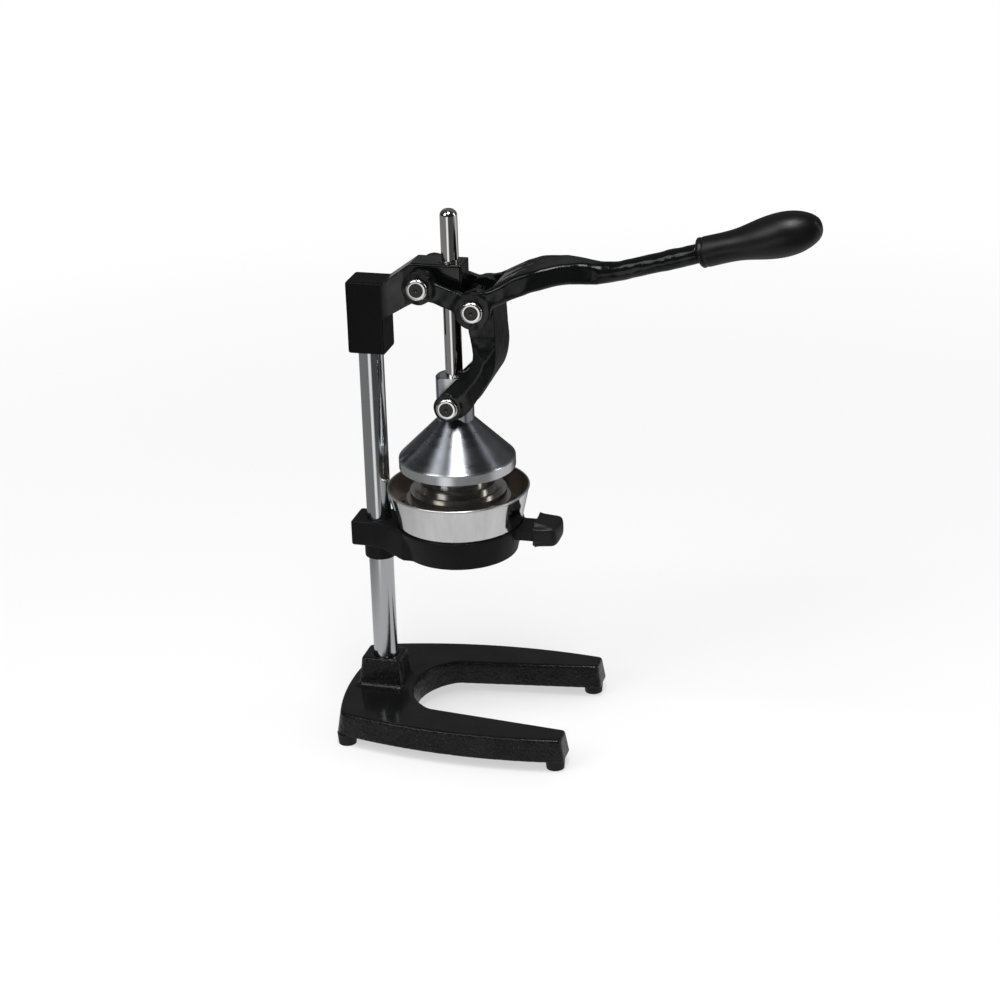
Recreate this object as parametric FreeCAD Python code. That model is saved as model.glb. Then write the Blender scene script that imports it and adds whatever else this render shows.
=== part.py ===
import FreeCAD, Part
import math
import os

# Lever citrus juice press. Millimetres, +Z up, Z 0 under the feet, +X towards the handle.
# While it is built the post's axis is at X 0, Y 0. Everything is moved at the end, so that
# the origin lies on the table, midway between the rear edge and the grip's end.

# Fits and clearances
RUNNING_CLEARANCE = 0.05      # radial gap of a shaft or pin that turns or slides
BODY_GAP = 0.4                # side gap between castings that pass each other
SEAT_GAP = 0.15               # gap of the bowl and the strainer in their seats

# Base casting
BASE_TOP = 31.5               # height of the top face
BASE_DEPTH = 21.0             # depth of the casting under the top face
BASE_DRAFT = 3.0              # how much wider the casting is at its bottom edge
BASE_EDGE_RADIUS = 2.4        # rounding of the top edge
BASE_REAR = 33.0              # post axis back to the middle of the rear edge
BASE_REAR_BOW = 11.0          # how far the rear edge bows out behind its corners
BASE_FRONT = 184.0            # post axis forward to the prong ends
BASE_HALF_WIDTH = 91.0        # half width where the sides are widest
BASE_WIDEST_X = 108.0         # where the sides are widest
BASE_SIDE_RADIUS = 490.0      # bow of the outer sides
BASE_CORNER_RADIUS = 13.0     # rounding of the rear corners
PRONG_CORNER_RADIUS = 4.0     # rounding of the prong ends
GAP_CENTRE_X = 82.0           # centre of the gap's round inner end
GAP_RADIUS = 55.3             # radius of that round end
GAP_JOIN_ANGLE = 59.0         # where the round end meets the straight gap sides, degrees
GAP_JOIN_RADIUS = 14.0        # rounding of that meeting
GAP_MOUTH_HALF = 63.5         # half width of the gap between the prong ends

# Base socket for the post
SOCKET_HEIGHT = 27.5          # above the base top
SOCKET_REAR = 19.5            # post axis back to the socket's rear face, at its top
SOCKET_FRONT = 16.3           # post axis forward to its front face, at its top
SOCKET_HALF_WIDTH = 14.8      # half width at its top
SOCKET_FLARE = 2.6            # how much it widens each way down to the base
SOCKET_CORNER_RADIUS = 3.5
SOCKET_FOOT_RADIUS = 6.0      # fillet where it meets the base

# Feet
FOOT_RADIUS = 8.0
FOOT_TAPER = 1.0              # how much wider a foot is at its top
FRONT_FOOT = (177.0, 76.0)
REAR_FOOT = (-18.0, 68.5)
FOOT_SCREW_RADIUS = 2.0
FOOT_SCREW_HEAD_RADIUS = 4.0
FOOT_SCREW_HEAD_HEIGHT = 2.4
FOOT_SCREW_RECESS = 3.0       # height of the screw head's underside recess
FOOT_SCREW_BITE = 11.0        # length of thread in the base

# Post and its bolt
POST_RADIUS = 11.0
POST_FOOT = 24.0              # height of the post's lower end
POST_TOP = 405.0
POST_BOLT_RADIUS = 4.0
POST_BOLT_BITE = 16.0         # length of thread in the post
POST_BOLT_HEAD_RADIUS = 6.5
POST_BOLT_HEAD_HEIGHT = 5.0
POST_WASHER_RADIUS = 8.5
POST_WASHER_HEIGHT = 1.6
POST_BOLT_POCKET = 7.5        # depth of the pocket under the base
POST_BOLT_POCKET_RADIUS = 9.5

# Head casting
HEAD_BOTTOM = 353.9
HEAD_TOP = 419.3
HEAD_REAR = 16.2              # post axis back to the rear face
HEAD_FRONT = 17.1             # post axis forward to the block's front face
HEAD_HALF_WIDTH = 15.6
HEAD_EDGE_RADIUS = 2.2
ARM_HALF_WIDTH = 13.7
ARM_TAPER_END = 36.0          # where the arm reaches its own width
ARM_TOP = 438.5
ARM_TOP_START = 43.4          # where the rising top edge becomes level
ARM_ROOT_BOTTOM = 387.0       # where the arm's lower edge leaves the block
ARM_LAP = 8.0                 # how far the arm reaches back into the block
ARM_BOTTOM = 404.0
ARM_BOTTOM_START = 47.0       # where the lower edge becomes level
ARM_TIP = 88.2
BUSH_WALL = 1.8
SET_SCREW_RADIUS = 3.0
SET_SCREW_SOCKET_RADIUS = 1.65
SET_SCREW_DEPTH = 0.6         # how far a set screw lies under the surface
HEAD_SET_SCREW_Z = 385.0

# Linkage pivots, as X and Z in the press's middle plane
FULCRUM = (53.8, 421.0)
LEVER_TO_LINK = (101.5, 403.3)
PRESS_AXIS_X = 75.0
LINK_TO_PRESS_Z = 312.4
PIN_RADIUS = 6.2
STUB_INNER_RADIUS = 4.0       # slim inner end of the link's upper pins
RING_RADIUS = 9.7             # retaining rings on the pin ends
RING_HEIGHT = 3.2
RING_ROUNDING = 2.4
PIN_PROUD = 0.5               # how far a pin end stands out of its ring
PIN_DIMPLE_RADIUS = 1.6
PIN_DIMPLE_DEPTH = 1.2

# Play of the link's upper eye on its pins, which opens the closed linkage
LINK_PLAY_REAR = 9.2          # how far the link's upper eye runs ahead of its pin
LINK_PLAY_FRONT = 1.2
LINK_PLAY_UP = 3.2
LINK_PLAY_DOWN = 2.2

# Link casting
LINK_EYE_HALF = 22.0          # outer faces of the upper ears, inside the fork
LINK_EYE_RADIUS = 17.0
LINK_EDGE_HALF = 23.5         # half width along the link's outer and inner edges
LINK_RIDGE_HALF = 26.0        # half width at the ridge between those edges
LINK_RIDGE_SHARE = 0.48       # where the ridge runs, from the inner edge to the outer one
LINK_RIDGE_FLAT = 0.04        # half width of the ridge's flat, as a share of the same
LINK_NARROW_START = 355.0     # height at which the link starts to narrow towards the fork
LINK_NARROW_END = 380.0       # height from which it is narrow enough for the fork
LINK_BOSS_RADIUS = 12.7       # boss round the lower pin
LINK_BOSS_HALF = 26.0         # outer faces of that boss
LINK_TOP_INNER_HALF = 14.8    # inner faces of the upper ears
LINK_OUTER = ((79.2, 301.1), (92.5, 308.2), (101.6, 321.4), (110.6, 335.0), (116.2, 345.0),
              (118.8, 354.5), (119.6, 367.0), (119.2, 385.0), (118.5, 403.3))
LINK_INNER = ((67.1, 321.4), (78.5, 334.0), (88.3, 343.4), (93.6, 348.4), (96.9, 353.6),
              (98.5, 360.5), (98.2, 367.5), (96.2, 377.0), (94.9, 387.7))
LINK_WEB_REAR = 9.6           # web's rear face, forward of the line through the pivots
LINK_EARS_START = 61.0        # where the room between the upper ears begins, up that line
LINK_HUB_CLEAR_RADIUS = 29.0  # room for the hub round the lower pivot

# Lever casting
FORK_INNER_HALF = 22.5        # inner faces of the fork's arms
FORK_OUTER_HALF = 30.0
FORK_BOSS_HALF = 31.0         # outer faces of the fork's bosses
FULCRUM_BOSS_RADIUS = 14.8
LINK_PIN_BOSS_RADIUS = 16.7
ARM_BAND_ABOVE = 11.0         # arm's top edge over the line between the two pivots
ARM_BAND_BELOW = 8.0
LINK_SWEEP_ANGLE = 58.0       # how far the link turns inside the fork, degrees
YOKE_TOP = ((104.5, 419.6), (117.0, 424.6), (131.0, 432.8), (143.0, 438.0), (155.0, 441.6),
            (170.0, 444.6), (188.0, 445.6), (206.0, 443.6))
YOKE_BOTTOM = ((206.0, 424.4), (190.0, 425.0), (174.0, 424.6), (157.0, 421.4), (143.0, 416.6),
               (131.0, 411.4), (117.0, 404.6))
YOKE_PLAN = ((119.0, 30.0), (142.0, 27.4), (155.0, 25.4), (166.0, 21.8), (178.0, 16.8),
             (190.0, 12.2), (206.0, 9.6))
YOKE_EDGE_CHAMFER = 3.2
SHAFT_RADIUS = 9.0
SHAFT_ANGLE = 15.7            # rise of the shaft and grip, degrees
SHAFT_ROOT_RADIUS = 10.6
SHAFT_ROOT_END = 224.0        # where the root has narrowed to the shaft
SHAFT_POINT = (284.8, 454.2)  # a point on the shaft's axis
TANG_RADIUS = 6.0
TANG_LENGTH = 84.0            # length of the shaft's tang inside the grip

# Grip
GRIP_START = 291.0            # X of the grip's inner end, on its axis
GRIP_LENGTH = 106.0
GRIP_COLLAR_RADIUS = 13.4
GRIP_COLLAR_ROUNDING = 2.0
GRIP_BULGE = ((22.0, 13.2), (36.0, 14.0), (52.0, 16.9), (69.0, 19.0), (86.0, 17.6), (98.0, 12.9))

# Press bell, rod and hub
ROD_RADIUS = 7.6
ROD_TOP = 484.3
ROD_END_GAP = 2.0             # between the rod's lower end and the cross pin
ROD_DOME = 6.0                # height of the rod's domed end
BELL_RADIUS = 51.7
BELL_BOTTOM = 251.0
BELL_SHOULDER = 259.6         # where the band would meet the cone
BELL_CONE_RISE = 1.0          # rise of the cone per mm towards the axis
BELL_SHOULDER_RADIUS = 1.2
BELL_WALL = 4.0
BELL_WALL_UPRIGHT = 4.3       # the cone's wall, measured upright
BELL_CEILING_RADIUS = 12.0    # flat ceiling under the hub
HUB_RADIUS = 16.4
HUB_TOP = 334.6
HUB_FLAT_HALF = 12.0
HUB_TOP_CHAMFER = 1.0
HUB_SET_SCREW_Z = 327.5

# Bowl
BOWL_RIM_RADIUS = 63.0
BOWL_RIM_Z = 230.7
BOWL_WALL = 1.2
BOWL_BEAD = 1.0               # radius of the rolled rim
BOWL_TAPER = 12.5             # degrees
BOWL_WALL_END = 196.0         # where the side wall ends
BOWL_FUNNEL_RADIUS = 49.0
BOWL_FUNNEL_Z = 188.5
BOWL_HEEL_OUT = 4.0           # bend from the funnel up into the side wall: how far outwards
BOWL_HEEL_UP = 2.0            # and how far upwards
BOWL_DRAIN_RADIUS = 12.5
BOWL_DRAIN_TOP = 177.0
BOWL_DRAIN_END = 163.0

# Strainer
STRAINER_STEPS = ((12.0, 249.0), (20.5, 246.2), (27.5, 242.8), (33.5, 237.6), (39.0, 232.2),
                  (43.0, 228.4), (46.4, 221.0))
STRAINER_WALL = 1.5
STRAINER_FLANGE_Z = 211.0     # top of the flange
STRAINER_FLANGE_HEIGHT = 1.6
STRAINER_HOLES = 24
STRAINER_HOLE_RADIUS = 2.0
STRAINER_HOLES_RADIUS = 51.6

# Bowl bracket
BRACKET_TOP = 195.2           # top of the block on the post
BRACKET_BLOCK_BOTTOM = 171.5
BRACKET_REAR = 22.3
BRACKET_HALF_WIDTH = 16.0
BRACKET_NECK = ((0.0, 16.0), (13.0, 23.5), (22.0, 31.0), (33.0, 40.0))
NECK_RISE = 4.0               # how far past the neck its top edge reaches the ring's top
BRACKET_EDGE_RADIUS = 2.0
COLLAR_RADIUS = 14.3
COLLAR_BOTTOM = 158.0
HOLDER_TOP = 198.5            # top of the ring
HOLDER_BOTTOM = 171.0
HOLDER_TOP_RADIUS = 58.0
HOLDER_BOTTOM_RADIUS = 51.5
HOLDER_BORE = 44.0
HOLDER_BORE_TOP = 181.0
HOLDER_ROOM = 2.0             # room left under the bowl's funnel
BRACKET_SET_SCREW_Z = 183.0
STUB_HALF_WIDTH = 15.5
STUB_TOP = 198.0
STUB_HEIGHT = 9.5
STUB_END = 163.0              # end of the stub inside the knob
KNOB_START = 145.5
KNOB_END = 169.0
KNOB_HALF_WIDTH = 17.5
KNOB_TOP = 204.0
KNOB_HEIGHT = 20.5
KNOB_ROUNDING = 5.5
KNOB_GROOVES = 5
KNOB_GROOVE_RADIUS = 1.3

FAR = 60.0                    # reach of a cut that runs out past the piece
NEAR = 2.0                    # how far from a face an edge counts as off it
OUT_DIR = "parts"


def vec(x, y, z):
    return FreeCAD.Vector(x, y, z)


def upright_cylinder(radius, bottom, top, x=0.0, y=0.0):
    return Part.makeCylinder(radius, top - bottom, vec(x, y, bottom), vec(0, 0, 1))


def cross_cylinder(radius, start, end, pivot):
    """Cylinder across the press, from Y start to Y end, about a pivot (X, Z)."""
    return Part.makeCylinder(radius, end - start, vec(pivot[0], start, pivot[1]), vec(0, 1, 0))


def lengthwise_cylinder(radius, start, end, z):
    return Part.makeCylinder(radius, end - start, vec(start, 0, z), vec(1, 0, 0))


def block(x0, x1, half_width, z0, z1):
    return Part.makeBox(x1 - x0, 2 * half_width, z1 - z0, vec(x0, -half_width, z0))


def turned(outline, x=0.0):
    """Solid turned about the upright axis at x from (radius, height) points."""
    points = [vec(x + r, 0, z) for r, z in outline]
    face = Part.Face(Part.makePolygon(points + points[:1]))
    return face.revolve(vec(x, 0, 0), vec(0, 0, 1), 360)


def side_prism(outline, half_width):
    """Solid with a side outline of (X, Z) points, spread both ways from the middle plane."""
    points = [vec(x, -half_width, z) for x, z in outline]
    face = Part.Face(Part.makePolygon(points + points[:1]))
    return face.extrude(vec(0, 2 * half_width, 0))


def mirrored(shape):
    return shape.mirror(vec(0, 0, 0), vec(0, 1, 0))


def joined(first, *others):
    return first.fuse(list(others)).removeSplitter()


def rounded(shape, radius, wanted):
    """Fillet the edges for which wanted(middle point, edge) is true."""
    return shape.makeFillet(radius, picked(shape, wanted))


def bevelled(shape, size, wanted):
    return shape.makeChamfer(size, picked(shape, wanted))


def picked(shape, wanted):
    return [edge for edge in shape.Edges if wanted(edge.CenterOfMass, edge)]


def runs_along(edge, axis):
    """True for a straight edge along the axis."""
    if not isinstance(edge.Curve, Part.Line):
        return False
    return abs(edge.tangentAt(edge.FirstParameter).dot(axis)) > 0.999


def spline(points):
    curve = Part.BSplineCurve()
    curve.interpolate(points)
    return curve.toShape()


def polar(centre, radius, degrees):
    angle = math.radians(degrees)
    return (centre[0] + radius * math.cos(angle), centre[1] + radius * math.sin(angle))


# Base

def base_side_y(x, grow):
    """Half width of the base at x, on the bowed outer side."""
    sag = math.sqrt(BASE_SIDE_RADIUS ** 2 - (x - BASE_WIDEST_X) ** 2) - BASE_SIDE_RADIUS
    return BASE_HALF_WIDTH + sag + grow


def base_outline(grow, z):
    """Outline of the base at height z, grown outward all round by grow."""
    rear = -(BASE_REAR + grow)
    corner = rear + BASE_REAR_BOW
    front = BASE_FRONT + grow
    inner_radius = GAP_RADIUS - grow
    join = polar((GAP_CENTRE_X, 0), inner_radius, 180 - GAP_JOIN_ANGLE)
    mouth = GAP_MOUTH_HALF - grow

    def at(x, y):
        return vec(x, y, z)

    def side(sign):
        start = at(corner, sign * base_side_y(corner, grow))
        middle = at(BASE_WIDEST_X, sign * base_side_y(BASE_WIDEST_X, grow))
        end = at(front, sign * base_side_y(front, grow))
        return Part.Arc(start, middle, end).toShape()

    def end_face(sign):
        return Part.makeLine(at(front, sign * base_side_y(front, grow)), at(front, sign * mouth))

    def gap_side(sign):
        return Part.makeLine(at(front, sign * mouth), at(join[0], sign * join[1]))

    rear_y = base_side_y(corner, grow)
    rear_edge = Part.Arc(at(corner, -rear_y), at(rear, 0), at(corner, rear_y)).toShape()
    gap_end = Part.Arc(at(join[0], join[1]), at(GAP_CENTRE_X - inner_radius, 0),
                       at(join[0], -join[1])).toShape()
    edges = [rear_edge, side(1), end_face(1), gap_side(1), gap_end, gap_side(-1), end_face(-1),
             side(-1)]
    return Part.Wire(Part.__sortEdges__(edges))


def tapered_block(grow, bottom, top):
    """The socket's four-sided block, wider at its foot by grow."""
    def outline(extra, z):
        x0 = -(SOCKET_REAR + extra)
        x1 = SOCKET_FRONT + extra
        y = SOCKET_HALF_WIDTH + extra
        corners = [vec(x0, -y, z), vec(x1, -y, z), vec(x1, y, z), vec(x0, y, z)]
        return Part.makePolygon(corners + corners[:1])
    return Part.makeLoft([outline(grow, bottom), outline(0.0, top)], True, True)


def make_base():
    bottom = BASE_TOP - BASE_DEPTH
    body = Part.makeLoft([base_outline(BASE_DRAFT, bottom), base_outline(0.0, BASE_TOP)],
                         True, True)

    def upright_at(x0, x1):
        def wanted(middle, edge):
            inside = bottom + 1 < middle.z < BASE_TOP - 1
            return inside and x0 < middle.x < x1 and abs(middle.y) > NEAR
        return wanted

    body = rounded(body, BASE_CORNER_RADIUS, upright_at(-BASE_REAR - BASE_DRAFT, 0))
    body = rounded(body, GAP_JOIN_RADIUS, upright_at(GAP_CENTRE_X - GAP_RADIUS, BASE_WIDEST_X))
    body = rounded(body, PRONG_CORNER_RADIUS,
                   upright_at(BASE_FRONT - BASE_DRAFT, BASE_FRONT + BASE_DRAFT))
    socket_top = BASE_TOP + SOCKET_HEIGHT
    socket = tapered_block(SOCKET_FLARE, BASE_TOP, socket_top)
    socket = rounded(socket, SOCKET_CORNER_RADIUS,
                     lambda middle, edge: BASE_TOP + NEAR < middle.z < socket_top - NEAR)
    base = joined(body, socket)

    def top_edge(reach, by_socket):
        def wanted(middle, edge):
            within = max(abs(middle.x), abs(middle.y)) < reach
            return abs(middle.z - BASE_TOP) < 0.01 and within == by_socket
        return wanted

    socket_reach = SOCKET_REAR + SOCKET_FLARE + 1
    base = rounded(base, SOCKET_FOOT_RADIUS, top_edge(socket_reach, True))
    base = rounded(base, BASE_EDGE_RADIUS, top_edge(socket_reach + SOCKET_FOOT_RADIUS, False))
    base = rounded(base, HEAD_EDGE_RADIUS,
                   lambda middle, edge: abs(middle.z - socket_top) < 0.01)
    base = base.cut([upright_cylinder(POST_RADIUS, POST_FOOT, socket_top + 1),
                     upright_cylinder(POST_BOLT_RADIUS, bottom - 1, POST_FOOT + 1),
                     upright_cylinder(POST_BOLT_POCKET_RADIUS, bottom - 1,
                                      bottom + POST_BOLT_POCKET)])
    return base.cut([foot_screw_hole(x, y) for x, y in foot_places()])


def foot_places():
    return [(x, sign * y) for x, y in (FRONT_FOOT, REAR_FOOT) for sign in (-1, 1)]


def foot_screw_hole(x, y):
    bottom = BASE_TOP - BASE_DEPTH
    return upright_cylinder(FOOT_SCREW_RADIUS, bottom - 1, bottom + FOOT_SCREW_BITE, x, y)


def make_feet():
    """Four rubber feet with a recess for each screw's head."""
    top = BASE_TOP - BASE_DEPTH
    feet = []
    for x, y in foot_places():
        foot = Part.makeCone(FOOT_RADIUS, FOOT_RADIUS + FOOT_TAPER, top, vec(x, y, 0))
        hole = upright_cylinder(FOOT_SCREW_RADIUS, -1, top + 1, x, y)
        recess = upright_cylinder(FOOT_SCREW_HEAD_RADIUS, -1,
                                  FOOT_SCREW_RECESS + FOOT_SCREW_HEAD_HEIGHT, x, y)
        feet.append(foot.cut([hole, recess]))
    return Part.makeCompound(feet)


def make_foot_screws():
    head_top = FOOT_SCREW_RECESS + FOOT_SCREW_HEAD_HEIGHT
    tip = BASE_TOP - BASE_DEPTH + FOOT_SCREW_BITE
    screws = []
    for x, y in foot_places():
        head = upright_cylinder(FOOT_SCREW_HEAD_RADIUS, FOOT_SCREW_RECESS, head_top, x, y)
        shank = upright_cylinder(FOOT_SCREW_RADIUS, FOOT_SCREW_RECESS, tip, x, y)
        screws.append(joined(head, shank))
    return Part.makeCompound(screws)


# Post

def make_post():
    post = upright_cylinder(POST_RADIUS, POST_FOOT, POST_TOP)
    return post.cut(upright_cylinder(POST_BOLT_RADIUS, POST_FOOT - 1, POST_FOOT + POST_BOLT_BITE))


def washer_bottom():
    return BASE_TOP - BASE_DEPTH + POST_BOLT_POCKET - POST_WASHER_HEIGHT


def make_post_bolt():
    under = washer_bottom()
    head = upright_cylinder(POST_BOLT_HEAD_RADIUS, under - POST_BOLT_HEAD_HEIGHT, under)
    shank = upright_cylinder(POST_BOLT_RADIUS, under - 1, POST_FOOT + POST_BOLT_BITE)
    return joined(head, shank)


def make_post_washer():
    under = washer_bottom()
    disc = upright_cylinder(POST_WASHER_RADIUS, under, under + POST_WASHER_HEIGHT)
    return disc.cut(upright_cylinder(POST_BOLT_RADIUS, under - 1, under + POST_WASHER_HEIGHT + 1))


# Head

def bush_radius():
    return ROD_RADIUS + RUNNING_CLEARANCE + BUSH_WALL


def make_head():
    body = block(-HEAD_REAR, HEAD_FRONT, HEAD_HALF_WIDTH, HEAD_BOTTOM, HEAD_TOP)
    lap_x = HEAD_FRONT - ARM_LAP
    lap_drop = ARM_LAP * (ARM_BOTTOM - ARM_ROOT_BOTTOM) / (ARM_BOTTOM_START - HEAD_FRONT)
    side = side_prism([(lap_x, ARM_ROOT_BOTTOM - lap_drop), (ARM_BOTTOM_START, ARM_BOTTOM),
                       (ARM_TIP, ARM_BOTTOM), (ARM_TIP, ARM_TOP), (ARM_TOP_START, ARM_TOP),
                       (HEAD_FRONT, HEAD_TOP), (lap_x, HEAD_TOP)], HEAD_HALF_WIDTH)
    plan = [(lap_x, HEAD_HALF_WIDTH), (HEAD_FRONT, HEAD_HALF_WIDTH),
            (ARM_TAPER_END, ARM_HALF_WIDTH), (ARM_TIP, ARM_HALF_WIDTH)]
    outline = [vec(x, y, 0) for x, y in plan] + [vec(x, -y, 0) for x, y in reversed(plan)]
    plan_face = Part.Face(Part.makePolygon(outline + outline[:1]))
    arm = side.common(plan_face.extrude(vec(0, 0, ARM_TOP + 1)))
    head = joined(body, arm)

    def outer_edge(middle, edge):
        on_side = abs(abs(middle.y) - HEAD_HALF_WIDTH) < 0.01 and middle.x < HEAD_FRONT - 1
        on_tip = abs(middle.x - ARM_TIP) < 0.01 and abs(middle.y) > 1
        on_arm_top = abs(middle.z - ARM_TOP) < 0.01 and abs(middle.y) > 1
        on_rear = middle.x < -HEAD_REAR + 0.01
        return on_side or on_tip or on_arm_top or on_rear

    head = rounded(head, HEAD_EDGE_RADIUS, outer_edge)
    screw = lengthwise_cylinder(SET_SCREW_RADIUS, -HEAD_REAR - 1, 0, HEAD_SET_SCREW_Z)
    return head.cut([upright_cylinder(POST_RADIUS, HEAD_BOTTOM - 1, POST_TOP),
                     upright_cylinder(bush_radius(), ARM_BOTTOM - 1, ARM_TOP + 1, PRESS_AXIS_X),
                     cross_cylinder(PIN_RADIUS + RUNNING_CLEARANCE, -HEAD_HALF_WIDTH,
                                    HEAD_HALF_WIDTH, FULCRUM), screw])


def set_screw(start, end, z):
    """Headless screw with a hexagon socket in its rear end."""
    screw = lengthwise_cylinder(SET_SCREW_RADIUS, start, end, z)
    corners = [vec(start - 1, *polar((0, z), SET_SCREW_SOCKET_RADIUS, 60 * i)) for i in range(7)]
    socket = Part.Face(Part.makePolygon(corners)).extrude(vec(1 + SET_SCREW_RADIUS, 0, 0))
    return screw.cut(socket)


def make_bush():
    tube = upright_cylinder(bush_radius(), ARM_BOTTOM, ARM_TOP, PRESS_AXIS_X)
    bore = upright_cylinder(ROD_RADIUS + RUNNING_CLEARANCE, ARM_BOTTOM - 1, ARM_TOP + 1,
                            PRESS_AXIS_X)
    return tube.cut(bore)


# Bowl bracket

def holder_radius(z):
    share = (z - HOLDER_BOTTOM) / (HOLDER_TOP - HOLDER_BOTTOM)
    return HOLDER_BOTTOM_RADIUS + share * (HOLDER_TOP_RADIUS - HOLDER_BOTTOM_RADIUS)


def bowl_radius(z):
    return BOWL_RIM_RADIUS - (BOWL_RIM_Z - z) * math.tan(math.radians(BOWL_TAPER))


def make_bracket():
    holder = turned([(0, HOLDER_BOTTOM), (HOLDER_BOTTOM_RADIUS, HOLDER_BOTTOM),
                     (HOLDER_TOP_RADIUS, HOLDER_TOP), (0, HOLDER_TOP)], PRESS_AXIS_X)
    body = block(-BRACKET_REAR, BRACKET_NECK[0][0] + 1, BRACKET_HALF_WIDTH,
                 BRACKET_BLOCK_BOTTOM, BRACKET_TOP)
    body = rounded(body, BRACKET_EDGE_RADIUS,
                   lambda middle, edge: middle.x < BRACKET_NECK[0][0] - 1)
    far_side = [vec(x, y, BRACKET_BLOCK_BOTTOM) for x, y in BRACKET_NECK]
    near_side = [vec(x, -y, BRACKET_BLOCK_BOTTOM) for x, y in reversed(BRACKET_NECK)]
    far_end = vec(PRESS_AXIS_X, BRACKET_NECK[-1][1], BRACKET_BLOCK_BOTTOM)
    near_end = vec(PRESS_AXIS_X, -BRACKET_NECK[-1][1], BRACKET_BLOCK_BOTTOM)
    plan = Part.Wire([spline(far_side), Part.makeLine(far_side[-1], far_end),
                      Part.makeLine(far_end, near_end), Part.makeLine(near_end, near_side[0]),
                      spline(near_side), Part.makeLine(near_side[-1], far_side[0])])
    neck = Part.Face(plan).extrude(vec(0, 0, FAR))
    rise = BRACKET_NECK[-1][0] + NECK_RISE
    side = side_prism([(BRACKET_NECK[0][0], BRACKET_BLOCK_BOTTOM),
                       (PRESS_AXIS_X, BRACKET_BLOCK_BOTTOM), (PRESS_AXIS_X, HOLDER_TOP),
                       (rise, HOLDER_TOP), (BRACKET_NECK[1][0], BRACKET_TOP),
                       (BRACKET_NECK[0][0], BRACKET_TOP)], HOLDER_TOP_RADIUS)
    neck = neck.common(side)
    collar = upright_cylinder(COLLAR_RADIUS, COLLAR_BOTTOM, BRACKET_BLOCK_BOTTOM + 1)
    stub = block(PRESS_AXIS_X + HOLDER_BORE, STUB_END, STUB_HALF_WIDTH,
                 STUB_TOP - STUB_HEIGHT, STUB_TOP)
    bracket = joined(body, neck, holder, collar, stub)
    seat_top = bowl_radius(HOLDER_TOP + 1) + SEAT_GAP
    seat_end = bowl_radius(BOWL_WALL_END) + SEAT_GAP
    bore = turned([(0, HOLDER_BOTTOM - 1), (HOLDER_BORE, HOLDER_BOTTOM - 1),
                   (HOLDER_BORE, HOLDER_BORE_TOP),
                   (BOWL_FUNNEL_RADIUS + HOLDER_ROOM, BOWL_FUNNEL_Z - HOLDER_ROOM),
                   (seat_end, BOWL_WALL_END - HOLDER_ROOM / 2),
                   (seat_end, BOWL_WALL_END), (seat_top, HOLDER_TOP + 1), (0, HOLDER_TOP + 1)],
                  PRESS_AXIS_X)
    screw = lengthwise_cylinder(SET_SCREW_RADIUS, -BRACKET_REAR - 1, 0, BRACKET_SET_SCREW_Z)
    post = upright_cylinder(POST_RADIUS, COLLAR_BOTTOM - 1, BRACKET_TOP + 1)
    return bracket.cut([bore, screw, post])


def make_knob():
    """Ribbed hand knob pushed over the bracket's front stub."""
    body = block(KNOB_START, KNOB_END, KNOB_HALF_WIDTH, KNOB_TOP - KNOB_HEIGHT, KNOB_TOP)
    along = vec(1, 0, 0)
    body = rounded(body, KNOB_ROUNDING, lambda middle, edge: runs_along(edge, along))
    body = rounded(body, KNOB_ROUNDING / 2, lambda middle, edge: middle.x > KNOB_END - 0.01)
    grooves = []
    for number in range(KNOB_GROOVES):
        y = (number - (KNOB_GROOVES - 1) / 2) * 2 * (KNOB_HALF_WIDTH - KNOB_ROUNDING) / KNOB_GROOVES
        for z in (KNOB_TOP, KNOB_TOP - KNOB_HEIGHT):
            groove = Part.makeCylinder(KNOB_GROOVE_RADIUS, KNOB_END - KNOB_START + 2,
                                       vec(KNOB_START - 1, y, z), along)
            grooves.append(groove)
    socket = block(KNOB_START - 1, STUB_END, STUB_HALF_WIDTH, STUB_TOP - STUB_HEIGHT, STUB_TOP)
    return body.cut(grooves + [socket])


# Bowl and strainer

def make_bowl():
    heel = (BOWL_FUNNEL_RADIUS + BOWL_HEEL_OUT, BOWL_FUNNEL_Z + BOWL_HEEL_UP)
    outer = [(bowl_radius(BOWL_RIM_Z), BOWL_RIM_Z), (bowl_radius(BOWL_WALL_END), BOWL_WALL_END),
             heel, (BOWL_FUNNEL_RADIUS, BOWL_FUNNEL_Z),
             (BOWL_DRAIN_RADIUS, BOWL_DRAIN_TOP), (BOWL_DRAIN_RADIUS, BOWL_DRAIN_END)]
    drain = BOWL_DRAIN_RADIUS - BOWL_WALL
    ease = BOWL_WALL / 4
    inner = [(drain, BOWL_DRAIN_END), (drain, BOWL_DRAIN_TOP + BOWL_WALL),
             (BOWL_FUNNEL_RADIUS - ease, BOWL_FUNNEL_Z + BOWL_WALL),
             (heel[0] - BOWL_WALL + ease, heel[1] + BOWL_WALL),
             (bowl_radius(BOWL_WALL_END) - BOWL_WALL, BOWL_WALL_END + ease),
             (bowl_radius(BOWL_RIM_Z) - BOWL_WALL, BOWL_RIM_Z)]
    shell = turned(outer + inner, PRESS_AXIS_X)
    bead_centre = vec(PRESS_AXIS_X, 0, BOWL_RIM_Z)
    bead = Part.makeTorus(BOWL_RIM_RADIUS - BOWL_WALL / 2, BOWL_BEAD, bead_centre)
    return joined(shell, bead)


def stepped_outline(inset):
    """Outline of the stepped cone from its crown down to the flange, drawn in by inset."""
    outline = [(0, STRAINER_STEPS[0][1] - inset)]
    for number, (radius, top) in enumerate(STRAINER_STEPS):
        following = STRAINER_STEPS[number + 1:number + 2]
        foot = following[0][1] if following else STRAINER_FLANGE_Z
        outline.append((radius - inset, top - inset))
        outline.append((radius - inset, foot - inset))
    return outline


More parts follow.
